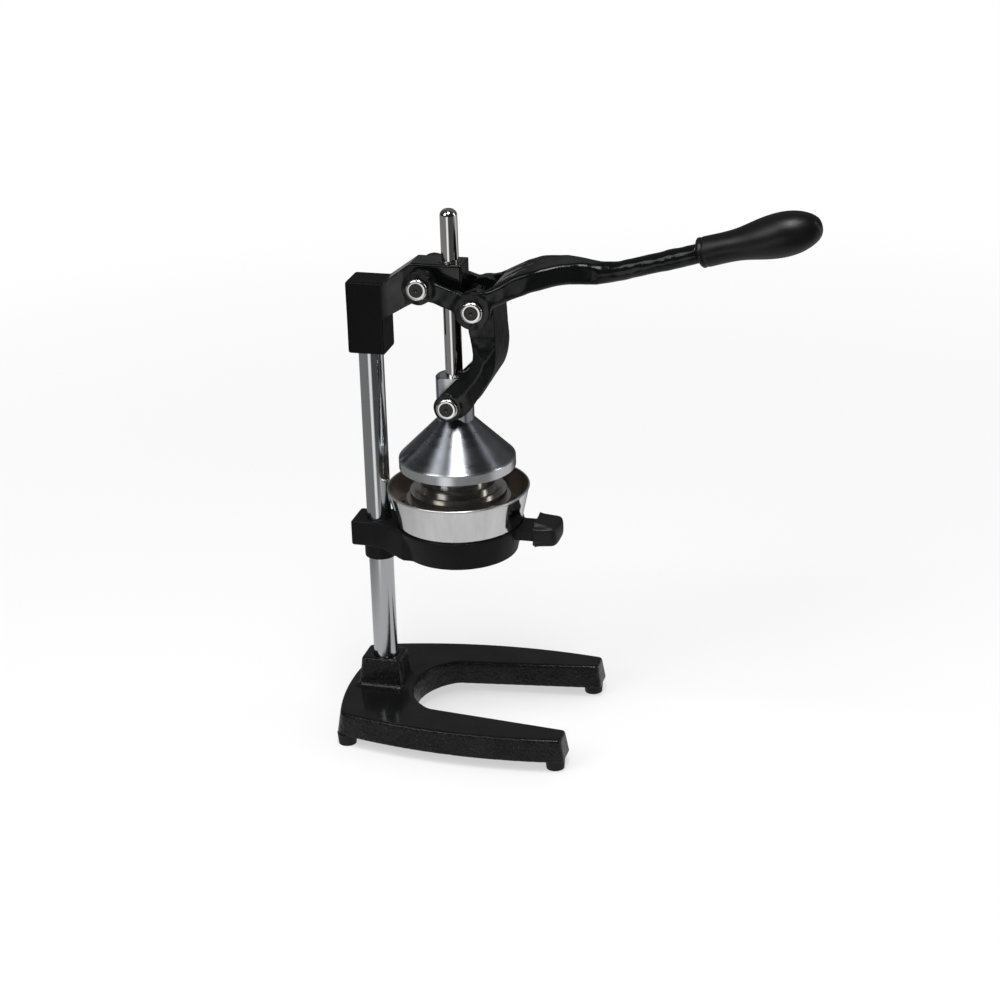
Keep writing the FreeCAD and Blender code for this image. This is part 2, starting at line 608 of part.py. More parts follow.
def make_strainer():
    flange_bottom = STRAINER_FLANGE_Z - STRAINER_FLANGE_HEIGHT
    flange_radius = bowl_radius(STRAINER_FLANGE_Z) - BOWL_WALL - SEAT_GAP
    lower_radius = bowl_radius(flange_bottom) - BOWL_WALL - SEAT_GAP
    outline = stepped_outline(0.0)
    outline += [(flange_radius, STRAINER_FLANGE_Z), (lower_radius, flange_bottom),
                (0, flange_bottom)]
    hollow = stepped_outline(STRAINER_WALL)
    hollow[-1] = (hollow[-1][0], flange_bottom - 1)
    hollow.append((0, flange_bottom - 1))
    cone = turned(outline, PRESS_AXIS_X).cut(turned(hollow, PRESS_AXIS_X))
    holes = []
    for number in range(STRAINER_HOLES):
        x, y = polar((PRESS_AXIS_X, 0), STRAINER_HOLES_RADIUS, 360 * number / STRAINER_HOLES)
        holes.append(upright_cylinder(STRAINER_HOLE_RADIUS, flange_bottom - 1,
                                      STRAINER_FLANGE_Z + 1, x, y))
    return cone.cut(holes)


# Pins and rings

def retaining_ring(pivot, face):
    """Domed ring on a pin, standing out from the boss face at Y = face."""
    outer = RING_HEIGHT + face
    ring = cross_cylinder(RING_RADIUS, face, outer, pivot)
    ring = rounded(ring, RING_ROUNDING, lambda middle, edge: abs(middle.y - outer) < 0.01)
    return ring.cut(cross_cylinder(PIN_RADIUS, face - 1, outer + 1, pivot))


def ring_pair(pivot, face):
    ring = retaining_ring(pivot, face)
    return Part.makeCompound([ring, mirrored(ring)])


def dimpled(pin, pivot, end):
    """Cut the small centre mark into the pin's end at Y = end."""
    mark = Part.makeCone(0, PIN_DIMPLE_RADIUS, PIN_DIMPLE_DEPTH,
                         vec(pivot[0], end - PIN_DIMPLE_DEPTH, pivot[1]), vec(0, 1, 0))
    return pin.cut(mark)


def through_pin(pivot, face):
    end = face + RING_HEIGHT + PIN_PROUD
    pin = dimpled(cross_cylinder(PIN_RADIUS, -end, end, pivot), pivot, end)
    return mirrored(dimpled(mirrored(pin), pivot, end))


def make_stub_pins():
    """Two short pins that carry the link's upper eyes, one in each arm of the fork."""
    end = FORK_BOSS_HALF + RING_HEIGHT + PIN_PROUD
    outer = dimpled(cross_cylinder(PIN_RADIUS, FORK_INNER_HALF, end, LEVER_TO_LINK),
                    LEVER_TO_LINK, end)
    inner = cross_cylinder(STUB_INNER_RADIUS, LINK_TOP_INNER_HALF + BODY_GAP, FORK_INNER_HALF + 1,
                           LEVER_TO_LINK)
    pin = joined(outer, inner)
    return Part.makeCompound([pin, mirrored(pin)])


# Link

def lower_pivot():
    return (PRESS_AXIS_X, LINK_TO_PRESS_Z)


def link_run():
    """How far the upper pivot lies forward of the lower one and above it."""
    return (LEVER_TO_LINK[0] - PRESS_AXIS_X, LEVER_TO_LINK[1] - LINK_TO_PRESS_Z)


def link_point(forward, along):
    """Point (X, Z) given by its distances forward of the pivot line and up along it."""
    dx, dz = link_run()
    length = math.hypot(dx, dz)
    return (PRESS_AXIS_X + (along * dx + forward * dz) / length,
            LINK_TO_PRESS_Z + (along * dz - forward * dx) / length)


def share_between(share):
    """Points on the way from the inner edge to the outer edge of the link."""
    return [(inner[0] + share * (outer[0] - inner[0]), inner[1] + share * (outer[1] - inner[1]))
            for inner, outer in zip(LINK_INNER, LINK_OUTER)]


def link_wire(low_share, high_share, y):
    """Closed outline of the link between two such lines, at Y = y."""
    low = [vec(x, y, z) for x, z in share_between(low_share)]
    high = [vec(x, y, z) for x, z in reversed(share_between(high_share))]
    return Part.Wire([spline(low), Part.makeLine(low[-1], high[0]), spline(high),
                      Part.makeLine(high[-1], low[0])])


def make_link():
    lower = lower_pivot()
    upper = LEVER_TO_LINK
    length = math.hypot(*link_run())
    across = vec(0, 1, 0)
    edge_wire = link_wire(0.0, 1.0, -LINK_EDGE_HALF)
    ridge_wire = link_wire(LINK_RIDGE_SHARE - LINK_RIDGE_FLAT, LINK_RIDGE_SHARE + LINK_RIDGE_FLAT,
                           -LINK_RIDGE_HALF)
    core = Part.Face(edge_wire).extrude(vec(0, 2 * LINK_EDGE_HALF, 0))
    roof = Part.makeLoft([edge_wire, ridge_wire], True, True)
    band = core.fuse([roof, mirrored(roof),
                      cross_cylinder(LINK_BOSS_RADIUS, -LINK_BOSS_HALF, LINK_BOSS_HALF, lower)])
    top = upper[1] + FAR
    beside = [(LINK_EYE_HALF, LINK_NARROW_END), (LINK_RIDGE_HALF, LINK_NARROW_START),
              (FAR, LINK_NARROW_START), (FAR, top), (LINK_EYE_HALF, top)]
    corners = [vec(0, y, z) for y, z in beside]
    trim = Part.Face(Part.makePolygon(corners + corners[:1])).extrude(vec(4 * FAR, 0, 0))
    band = band.cut([trim, mirrored(trim)])
    band = joined(band, cross_cylinder(LINK_EYE_RADIUS, -LINK_EYE_HALF, LINK_EYE_HALF, upper))
    hub_half = HUB_FLAT_HALF + BODY_GAP
    hub_room = cross_cylinder(LINK_HUB_CLEAR_RADIUS, -hub_half, hub_half, lower)
    far_up = length + FAR

    def room_behind_web(start, half_width):
        return side_prism([link_point(-FAR, start), link_point(LINK_WEB_REAR, start),
                           link_point(LINK_WEB_REAR, far_up), link_point(-FAR, far_up)],
                          half_width)

    corner = STUB_INNER_RADIUS
    slot = side_prism([link_point(-LINK_PLAY_REAR - corner, length - LINK_PLAY_DOWN - corner),
                       link_point(LINK_PLAY_FRONT + corner, length - LINK_PLAY_DOWN - corner),
                       link_point(LINK_PLAY_FRONT + corner, length + LINK_PLAY_UP + corner),
                       link_point(-LINK_PLAY_REAR - corner, length + LINK_PLAY_UP + corner)],
                      LINK_EYE_HALF + 1)
    slot = rounded(slot, corner, lambda middle, edge: runs_along(edge, across))
    return band.cut([hub_room, room_behind_web(-FAR, hub_half),
                     room_behind_web(LINK_EARS_START, LINK_TOP_INNER_HALF), slot,
                     cross_cylinder(PIN_RADIUS, -LINK_BOSS_HALF - 1, LINK_BOSS_HALF + 1, lower)])


# Lever and grip

def yoke_side():
    """Side outline of the yoke between smooth top and bottom edges, as a solid."""
    half = FORK_OUTER_HALF + 1
    top = [vec(x, -half, z) for x, z in YOKE_TOP]
    bottom = [vec(x, -half, z) for x, z in YOKE_BOTTOM]
    root = vec(LEVER_TO_LINK[0], -half, LEVER_TO_LINK[1])
    edges = [spline(top), Part.makeLine(top[-1], bottom[0]), spline(bottom),
             Part.makeLine(bottom[-1], root), Part.makeLine(root, top[0])]
    face = Part.Face(Part.Wire(Part.__sortEdges__(edges)))
    return face.extrude(vec(0, 2 * half, 0))


def yoke_plan():
    """Outline of the yoke seen from above, as a tall solid."""
    low = FULCRUM[1] - FAR
    rear = FULCRUM[0] - FAR
    far_side = [vec(x, y, low) for x, y in YOKE_PLAN]
    near_side = [vec(x, -y, low) for x, y in reversed(YOKE_PLAN)]
    far_rear = vec(rear, FORK_OUTER_HALF, low)
    near_rear = vec(rear, -FORK_OUTER_HALF, low)
    edges = [Part.makeLine(far_rear, far_side[0]), spline(far_side),
             Part.makeLine(far_side[-1], near_side[0]),
             spline(near_side), Part.makeLine(near_side[-1], near_rear),
             Part.makeLine(near_rear, far_rear)]
    face = Part.Face(Part.Wire(Part.__sortEdges__(edges)))
    return face.extrude(vec(0, 0, 2 * FAR))


def arm_band():
    """Straight part of the fork's arms between the two pivots."""
    dx = LEVER_TO_LINK[0] - FULCRUM[0]
    dz = LEVER_TO_LINK[1] - FULCRUM[1]
    length = math.hypot(dx, dz)
    normal = (-dz / length, dx / length)

    def off(pivot, distance):
        return (pivot[0] + distance * normal[0], pivot[1] + distance * normal[1])

    return side_prism([off(FULCRUM, ARM_BAND_ABOVE), off(LEVER_TO_LINK, ARM_BAND_ABOVE),
                       off(LEVER_TO_LINK, -ARM_BAND_BELOW), off(FULCRUM, -ARM_BAND_BELOW)],
                      FORK_OUTER_HALF)


def shaft_point(x):
    rise = math.tan(math.radians(SHAFT_ANGLE))
    return vec(x, 0, SHAFT_POINT[1] + rise * (x - SHAFT_POINT[0]))


def shaft_direction():
    angle = math.radians(SHAFT_ANGLE)
    return vec(math.cos(angle), 0, math.sin(angle))


def make_lever():
    yoke = yoke_side().common(yoke_plan())
    end_x = YOKE_TOP[-1][0]
    yoke = bevelled(yoke, YOKE_EDGE_CHAMFER,
                    lambda middle, edge: middle.x < end_x - 3 and abs(middle.y) > SHAFT_RADIUS / 2
                    and edge.Length > 2 * YOKE_PLAN[1][1])
    root_z = (YOKE_TOP[-1][1] + YOKE_BOTTOM[0][1]) / 2
    direction = shaft_direction()
    root_start = Part.Wire(Part.makeCircle(SHAFT_ROOT_RADIUS, vec(end_x - 2, 0, root_z),
                                           vec(1, 0, 0)))
    root_end = Part.Wire(Part.makeCircle(SHAFT_RADIUS, shaft_point(SHAFT_ROOT_END), direction))
    root = Part.makeLoft([root_start, root_end], True, True)
    shaft_length = (GRIP_START - SHAFT_ROOT_END) / direction.x
    shaft = Part.makeCylinder(SHAFT_RADIUS, shaft_length, shaft_point(SHAFT_ROOT_END), direction)
    tang = Part.makeCylinder(TANG_RADIUS, shaft_length + TANG_LENGTH,
                             shaft_point(SHAFT_ROOT_END), direction)
    bosses = [cross_cylinder(FULCRUM_BOSS_RADIUS, -FORK_BOSS_HALF, FORK_BOSS_HALF, FULCRUM),
              cross_cylinder(LINK_PIN_BOSS_RADIUS, -FORK_BOSS_HALF, FORK_BOSS_HALF,
                             LEVER_TO_LINK)]
    lever = joined(yoke, arm_band(), root, shaft, tang, *bosses)
    arm_half = ARM_HALF_WIDTH + BODY_GAP
    below = FULCRUM[1] - FAR
    above = FULCRUM[1] + FAR

    def fork_gap(rear, half_width):
        return side_prism([(rear, below), (LEVER_TO_LINK[0], below), (LEVER_TO_LINK[0], above),
                           (rear, above)], half_width)

    clear = LINK_EYE_RADIUS + LINK_PLAY_REAR + BODY_GAP
    eye_room = cross_cylinder(clear, -FORK_INNER_HALF, FORK_INNER_HALF, LEVER_TO_LINK)
    sweep_top = polar(LEVER_TO_LINK, clear, LINK_SWEEP_ANGLE)
    sweep_end = polar(sweep_top, FAR, LINK_SWEEP_ANGLE - 90)
    sweep = side_prism([LEVER_TO_LINK, sweep_top, sweep_end, (sweep_end[0], below),
                        (LEVER_TO_LINK[0], below)], FORK_INNER_HALF)
    return lever.cut([fork_gap(FULCRUM[0] - FAR, arm_half),
                      fork_gap(FULCRUM[0] + FULCRUM_BOSS_RADIUS, FORK_INNER_HALF), eye_room, sweep,
                      cross_cylinder(PIN_RADIUS, -FORK_BOSS_HALF - 1, FORK_BOSS_HALF + 1, FULCRUM),
                      cross_cylinder(PIN_RADIUS, -FORK_BOSS_HALF - 1, FORK_BOSS_HALF + 1,
                                     LEVER_TO_LINK)])


def make_grip():
    """Pear-shaped grip turned about the shaft's axis, with a bore for the tang."""
    start = GRIP_COLLAR_RADIUS - GRIP_COLLAR_ROUNDING
    collar = [vec(start, 0, 0), vec(GRIP_COLLAR_RADIUS, 0, GRIP_COLLAR_ROUNDING)]
    side = [collar[1]] + [vec(r, 0, s) for s, r in GRIP_BULGE] + [vec(0, 0, GRIP_LENGTH)]
    curve = Part.BSplineCurve()
    curve.interpolate(Points=side, InitialTangent=vec(0, 0, 1), FinalTangent=vec(-1, 0, 0))
    foot = vec(0, 0, 0)
    edges = [Part.makeLine(foot, collar[0]), Part.makeLine(collar[0], collar[1]), curve.toShape(),
             Part.makeLine(side[-1], foot)]
    face = Part.Face(Part.Wire(Part.__sortEdges__(edges)))
    grip = face.revolve(vec(0, 0, 0), vec(0, 0, 1), 360)
    grip = grip.cut(Part.makeCylinder(TANG_RADIUS, TANG_LENGTH, vec(0, 0, 0)))
    grip.Placement = FreeCAD.Placement(shaft_point(GRIP_START),
                                       FreeCAD.Rotation(vec(0, 0, 1), shaft_direction()))
    return grip


# Press

def cone_z(radius):
    return BELL_SHOULDER + (BELL_RADIUS - radius) * BELL_CONE_RISE


def rod_bottom():
    """The rod ends in the hub just above the cross pin."""
    return LINK_TO_PRESS_Z + PIN_RADIUS + ROD_END_GAP


def make_rod():
    rod = upright_cylinder(ROD_RADIUS, rod_bottom(), ROD_TOP, PRESS_AXIS_X)
    return rounded(rod, ROD_DOME, lambda middle, edge: abs(middle.z - ROD_TOP) < 0.01)


def make_bell():
    inner = BELL_RADIUS - BELL_WALL
    cone = turned([(0, BELL_BOTTOM), (BELL_RADIUS, BELL_BOTTOM), (BELL_RADIUS, BELL_SHOULDER),
                   (HUB_FLAT_HALF, cone_z(HUB_FLAT_HALF)), (0, cone_z(HUB_FLAT_HALF))],
                  PRESS_AXIS_X)
    cone = rounded(cone, BELL_SHOULDER_RADIUS,
                   lambda middle, edge: abs(middle.z - BELL_SHOULDER) < 0.01)
    hub = upright_cylinder(HUB_RADIUS, BELL_SHOULDER, HUB_TOP, PRESS_AXIS_X)
    hub = bevelled(hub, HUB_TOP_CHAMFER, lambda middle, edge: abs(middle.z - HUB_TOP) < 0.01)
    flat = Part.makeBox(4 * HUB_RADIUS, HUB_RADIUS, 2 * FAR,
                        vec(PRESS_AXIS_X - 2 * HUB_RADIUS, HUB_FLAT_HALF, BELL_BOTTOM))
    bell = joined(cone, hub.cut([flat, mirrored(flat)]))
    hollow = [(0, BELL_BOTTOM - 1), (inner, BELL_BOTTOM - 1),
              (inner, cone_z(inner) - BELL_WALL_UPRIGHT),
              (BELL_CEILING_RADIUS, cone_z(BELL_CEILING_RADIUS) - BELL_WALL_UPRIGHT),
              (0, cone_z(BELL_CEILING_RADIUS) - BELL_WALL_UPRIGHT)]
    screw = lengthwise_cylinder(SET_SCREW_RADIUS, PRESS_AXIS_X - HUB_RADIUS - 1, PRESS_AXIS_X,
                                HUB_SET_SCREW_Z)
    return bell.cut([turned(hollow, PRESS_AXIS_X),
                     upright_cylinder(ROD_RADIUS, rod_bottom(), HUB_TOP + 1, PRESS_AXIS_X),
                     cross_cylinder(PIN_RADIUS + RUNNING_CLEARANCE, -HUB_RADIUS, HUB_RADIUS,
                                    lower_pivot()), screw])


def build():
    """All pieces by node name."""
    rear_of = SET_SCREW_DEPTH
    return {
        "base_casting": make_base(),
        "rubber_feet": make_feet(),
        "foot_screws": make_foot_screws(),
        "column_post": make_post(),
        "column_base_bolt": make_post_bolt(),
        "column_base_washer": make_post_washer(),
        "head_casting": make_head(),
        "head_set_screw": set_screw(-HEAD_REAR + rear_of, -POST_RADIUS, HEAD_SET_SCREW_Z),
        "rod_guide_bush": make_bush(),
        "cup_bracket": make_bracket(),
        "bracket_set_screw": set_screw(-BRACKET_REAR + rear_of, -POST_RADIUS,
                                       BRACKET_SET_SCREW_Z),
        "bracket_handle_grip": make_knob(),
        "juice_bowl": make_bowl(),
        "strainer_cone": make_strainer(),
        "fulcrum_pin": through_pin(FULCRUM, FORK_BOSS_HALF),
        "fulcrum_pin_rings": ring_pair(FULCRUM, FORK_BOSS_HALF),
        "lever_casting": make_lever(),
        "lever_grip": make_grip(),
        "link_upper_pins": make_stub_pins(),
        "link_upper_pin_rings": ring_pair(LEVER_TO_LINK, FORK_BOSS_HALF),
        "link_casting": make_link(),
        "lower_pin": through_pin(lower_pivot(), LINK_BOSS_HALF),
        "lower_pin_rings": ring_pair(lower_pivot(), LINK_BOSS_HALF),
        "press_rod": make_rod(),
        "press_bell": make_bell(),
        "hub_set_screw": set_screw(PRESS_AXIS_X - HUB_RADIUS + rear_of,
                                   PRESS_AXIS_X - ROD_RADIUS, HUB_SET_SCREW_Z),
    }


def main():
    os.makedirs(OUT_DIR, exist_ok=True)
    pieces = build()
    whole = Part.makeCompound(list(pieces.values())).optimalBoundingBox(False)
    middle = (whole.XMin + whole.XMax) / 2
    for name, shape in pieces.items():
        shape.translate(vec(-middle, 0, 0))
        shape.exportStep(os.path.join(OUT_DIR, name + ".step"))
    print("origin moved forward by", round(middle, 4))
    print("size", round(whole.XLength, 2), round(whole.YLength, 2), round(whole.ZMax, 2))


main()
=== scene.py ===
import math

import bmesh
import bpy
from mathutils import Matrix, Vector


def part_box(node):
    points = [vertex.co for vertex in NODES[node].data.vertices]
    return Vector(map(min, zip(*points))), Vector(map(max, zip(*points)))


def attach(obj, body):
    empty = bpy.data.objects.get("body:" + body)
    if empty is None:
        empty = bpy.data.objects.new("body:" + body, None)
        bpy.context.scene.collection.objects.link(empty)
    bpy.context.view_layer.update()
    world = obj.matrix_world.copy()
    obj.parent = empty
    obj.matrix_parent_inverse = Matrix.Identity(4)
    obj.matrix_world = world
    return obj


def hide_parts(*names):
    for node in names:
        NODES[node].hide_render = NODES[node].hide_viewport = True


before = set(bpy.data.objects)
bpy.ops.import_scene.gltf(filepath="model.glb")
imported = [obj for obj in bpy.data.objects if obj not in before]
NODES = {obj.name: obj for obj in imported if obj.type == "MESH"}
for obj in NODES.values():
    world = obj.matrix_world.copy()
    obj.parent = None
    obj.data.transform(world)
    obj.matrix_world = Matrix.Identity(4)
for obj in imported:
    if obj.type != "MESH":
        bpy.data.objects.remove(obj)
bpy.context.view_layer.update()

# Blender's lengths are metres in the part's frame, and the lengths written here are
# millimetres. X is measured from the post's axis, which lies SHIFT behind the origin.
MM = 0.001
SHIFT = 178.8396
PRESS_X = 75.0                # the axis of the bowl, the strainer, the bell and the rod
PRESS_AXIS = (PRESS_X - SHIFT) * MM


def place(x, y, z):
    """A point in the part's frame."""
    return Vector(((x - SHIFT) * MM, y * MM, z * MM))


# Shader maths

class Shade:
    """A number that varies over a surface. Arithmetic on it adds Math nodes."""

    def __init__(self, finish, socket):
        self.finish = finish
        self.socket = socket

    def __add__(self, other):
        return self.finish.math("ADD", self, other)

    __radd__ = __add__

    def __mul__(self, other):
        return self.finish.math("MULTIPLY", self, other)

    __rmul__ = __mul__

    def __sub__(self, other):
        return self.finish.math("SUBTRACT", self, other)

    def __rsub__(self, other):
        return self.finish.math("SUBTRACT", other, self)

    def __abs__(self):
        return self.finish.math("ABSOLUTE", self)


def socket_name(word):
    """Name of a shader's socket, from the Python word for it."""
    return word.replace("_", " ").title().replace("Ior", "IOR")


class Nodes:
    """A node tree of a material or of the world, and the patterns drawn in it."""

    def __init__(self, tree, coordinates):
        self.tree = tree
        self.spot = self.node("ShaderNodeTexCoord", output=coordinates)

    def node(self, kind, settings=None, sockets=None, output=0):
        """Any node: its type, its settings, and the values or links of its sockets."""
        made = self.tree.nodes.new(kind)
        for name, value in (settings or {}).items():
            setattr(made, name, value)
        for name, value in (sockets or {}).items():
            self.feed(made.inputs[name], value)
        return Shade(self, made.outputs[output])

    def feed(self, socket, value):
        if isinstance(value, Shade):
            self.tree.links.new(value.socket, socket)
        else:
            socket.default_value = value

    def ray(self, *kinds):
        """1 for rays of these kinds, such as Camera or Glossy."""
        found = [self.node("ShaderNodeLightPath", output="Is " + kind + " Ray") for kind in kinds]
        return found[0] if len(found) == 1 else self.math("MAXIMUM", *found)

    def math(self, operation, *values):
        return self.node("ShaderNodeMath", {"operation": operation}, dict(enumerate(values)))

    # Patterns. Sizes are in millimetres.

    def stretched(self, x, y, z):
        """The surface's coordinates, squeezed or stretched along each axis."""
        return self.node("ShaderNodeVectorMath", {"operation": "MULTIPLY"},
                         {0: self.spot, 1: (x, y, z)})

    def noise(self, size, detail=2.0, rough=0.5, vector=None, warp=0.0):
        return self.node("ShaderNodeTexNoise", {"noise_dimensions": "3D"},
                         {"Vector": vector or self.spot, "Scale": 1000.0 / size,
                          "Detail": detail, "Roughness": rough, "Distortion": warp},
                         output="Fac")

    def cells(self, size, softness):
        return self.node("ShaderNodeTexVoronoi", {"feature": "SMOOTH_F1"},
                         {"Vector": self.spot, "Scale": 1000.0 / size,
                          "Smoothness": softness}, output="Distance")

    def ramp(self, value, low, high, to_low=0.0, to_high=1.0):
        """Straight rise from to_low at low to to_high at high, held at both ends."""
        return self.node("ShaderNodeMapRange", {"clamp": True},
                         {"Value": value, "From Min": low, "From Max": high,
                          "To Min": to_low, "To Max": to_high})

    def blend(self, share, first, second):
        """Colour mix."""
        made = self.tree.nodes.new("ShaderNodeMix")
        made.data_type = "RGBA"
        self.feed(made.inputs["Factor"], share)
        colours = [socket for socket in made.inputs if socket.type == "RGBA"]
        for socket, colour in zip(colours, (first, second)):
            self.feed(socket, colour if isinstance(colour, Shade) else (*colour, 1.0))
        result = [socket for socket in made.outputs if socket.type == "RGBA"][0]
        return Shade(self, result)

    def part(self, axis, of=None):
        """One coordinate of the surface, in metres, or of another vector."""
        return self.node("ShaderNodeSeparateXYZ", None, {0: of or self.spot}, output=axis)

    def facing(self, axis):
        """One component of the surface's own normal."""
        normal = self.node("ShaderNodeNewGeometry", output="Normal")
        return self.part(axis, normal)

    def reach(self):
        """Distance in millimetres from the press's axis."""
        dx = self.part("X") - PRESS_AXIS
        dy = self.part("Y")
        return self.math("SQRT", dx * dx + dy * dy) * 1000.0


class Finish(Nodes):
    """A material with the surface shader ready for its sockets."""

    def __init__(self, name, colour, **constants):
        self.material = bpy.data.materials.new(name)
        self.material.use_nodes = True
        self.material.node_tree.nodes.clear()
        super().__init__(self.material.node_tree, "Object")
        self.surface = self.tree.nodes.new("ShaderNodeBsdfPrincipled")
        self.output = self.tree.nodes.new("ShaderNodeOutputMaterial")
        self.tree.links.new(self.surface.outputs[0], self.output.inputs["Surface"])
        self.surface.inputs["Base Color"].default_value = (*colour, 1.0)
        for socket, value in constants.items():
            self.surface.inputs[socket_name(socket)].default_value = value
        self.material.diffuse_color = (*colour, 1.0)

    def set(self, **values):
        for socket, value in values.items():
            self.feed(self.surface.inputs[socket_name(socket)], value)

    def bump(self, height, depth):
        """Relief: height runs from 0 to 1 and stands for depth in millimetres."""
        bump = self.node("ShaderNodeBump", None,
                         {"Height": height, "Distance": depth * MM, "Strength": 1.0})
        self.set(normal=bump)


def enamel(name, colour, grain, depth, top_share, rough, shine, gloss, dull_to=None, glint_paint=0.0):
    """Thick enamel over a casting: fine dimples on upright faces, fewer on the level ones.

    The clear top of the enamel is gloss where it is thickest and a third of that where it is
    thin. Behind dull_to, in millimetres ahead of the post, there is no clear top. On upright
    faces, specks are painted lighter by flecks: painted highlights for the glints of the dimples.
    """
    finish = Finish(name, colour, metallic=0.0, roughness=rough, coat_weight=gloss,
                    coat_roughness=0.1, specular_ior_level=shine)
    patch = finish.noise(grain * 5, 2.0)
    grains = finish.noise(grain, 3.0, 0.6, warp=0.4) + 0.5 * finish.cells(grain * 1.2, 0.4)
    level = finish.ramp(finish.facing("Z"), 0.55, 0.95)
    share = (1.0 - level * (1.0 - top_share)) * finish.ramp(patch, 0.3, 0.7, 0.6, 1.3)
    finish.bump(grains * share + finish.noise(7.0, 1.0) * 0.03, depth)
    cloud = finish.noise(30.0, 3.0)
    skin = finish.ramp(grains, 0.5, 1.0, rough - 0.05, rough + 0.08)
    coat = finish.ramp(cloud, 0.38, 0.62, gloss / 3, gloss)
    if dull_to is not None:
        edge = (dull_to - SHIFT) * MM
        dull = finish.ramp(finish.part("X"), edge - 4 * MM, edge + 4 * MM, 1.0, 0.0)
        skin = skin + dull * 0.24
        coat = coat * (1.0 - dull)
    skin_colour = finish.blend(cloud, colour, tuple(c * 1.5 for c in colour))
    if glint_paint:
        # Painted highlights: lighter specks on upright faces, for the glints of the hammer
        # finish.
        painted_glints = finish.ramp(finish.noise(grain * 0.6, 2.0), 0.56, 0.72) * (1.0 - level)
        painted_glints = painted_glints * finish.ramp(patch, 0.3, 0.7, 0.3, 1.0)
        skin_colour = finish.blend(painted_glints, skin_colour, (glint_paint, glint_paint, glint_paint))
    finish.set(base_color=skin_colour, roughness=skin, coat_weight=coat)
    return finish.material


def moulded(name, colour, rough, grain, depth):
    """Moulded plastic or rubber with an even fine grain."""
    finish = Finish(name, colour, roughness=rough, specular_ior_level=0.3)
    height = finish.noise(grain, 3.0, 0.6)
    finish.bump(height, depth)
    patches = finish.noise(16.0, 3.0)
    finish.set(base_color=finish.blend(patches, tuple(c * 0.8 for c in colour),
                                       tuple(c * 1.25 for c in colour)),
               roughness=finish.ramp(patches, 0.3, 0.7, rough - 0.05, rough + 0.06))
    return finish.material


def bar(name, colour, rough):
    """Ground and plated round bar: fine marks round it, and faint clouding."""
    finish = Finish(name, colour, metallic=1.0, roughness=rough)
    marks = finish.noise(9.0, 4.0, 0.6, finish.stretched(1.0, 1.0, 60.0))
    clouds = finish.noise(24.0, 3.0)
    finish.bump(marks, 0.0007)
    finish.set(roughness=finish.ramp(marks * 0.5 + clouds * 0.5, 0.35, 0.65, rough * 0.7,
                                     rough * 1.4),
               base_color=finish.blend(clouds, tuple(c * 0.93 for c in colour), colour))
    return finish.material


def lathe_marks(finish, pitch):
    """Rings about the press's axis, as a turning tool leaves them: 0 to 1."""
    down = finish.reach() + finish.part("Z") * 900.0
    fine = finish.math("SINE", down * (2 * math.pi / pitch)) * 0.5 + 0.5
    uneven = finish.node("ShaderNodeTexNoise", {"noise_dimensions": "1D"},
                         {"W": down, "Scale": 0.9, "Detail": 6.0, "Roughness": 0.75},
                         output="Fac")
    return fine * 0.25 + uneven * 0.75


def turned_metal(name, colour, rough, pitch, depth, streak, cone=None):
    """Lathe-turned metal. Its highlights stretch across the tool marks.

    The bell's cone is painted darker than its band and its hub, as painted shade on its slope, in
    two tones mixed by ring marks.
    """
    finish = Finish(name, colour, metallic=1.0, roughness=rough, anisotropic=streak,
                    anisotropic_rotation=0.25)
    marks = lathe_marks(finish, pitch)
    finish.bump(marks, depth)
    clouds = finish.noise(14.0, 3.0)
    if cone:
        # Painted shade: the sloping cone gets the darker cone colours in place of the band's
        # colour.
        sloping = (finish.ramp(finish.reach(), CONE_TOP_RADIUS, CONE_TOP_RADIUS + 1.5)
                   * finish.ramp(finish.part("Z"), CONE_FOOT * MM, (CONE_FOOT + 1.4) * MM))
        turned = finish.blend(lathe_marks(finish, 1.3), *cone)
        metal = finish.blend(sloping, colour, turned)
    else:
        metal = finish.blend(marks, tuple(c * 0.9 for c in colour), colour)
    finish.set(roughness=finish.ramp(marks * 0.6 + clouds * 0.4, 0.3, 0.7, rough * 0.8,
                                     rough * 1.25),
               base_color=metal)
    return finish.material


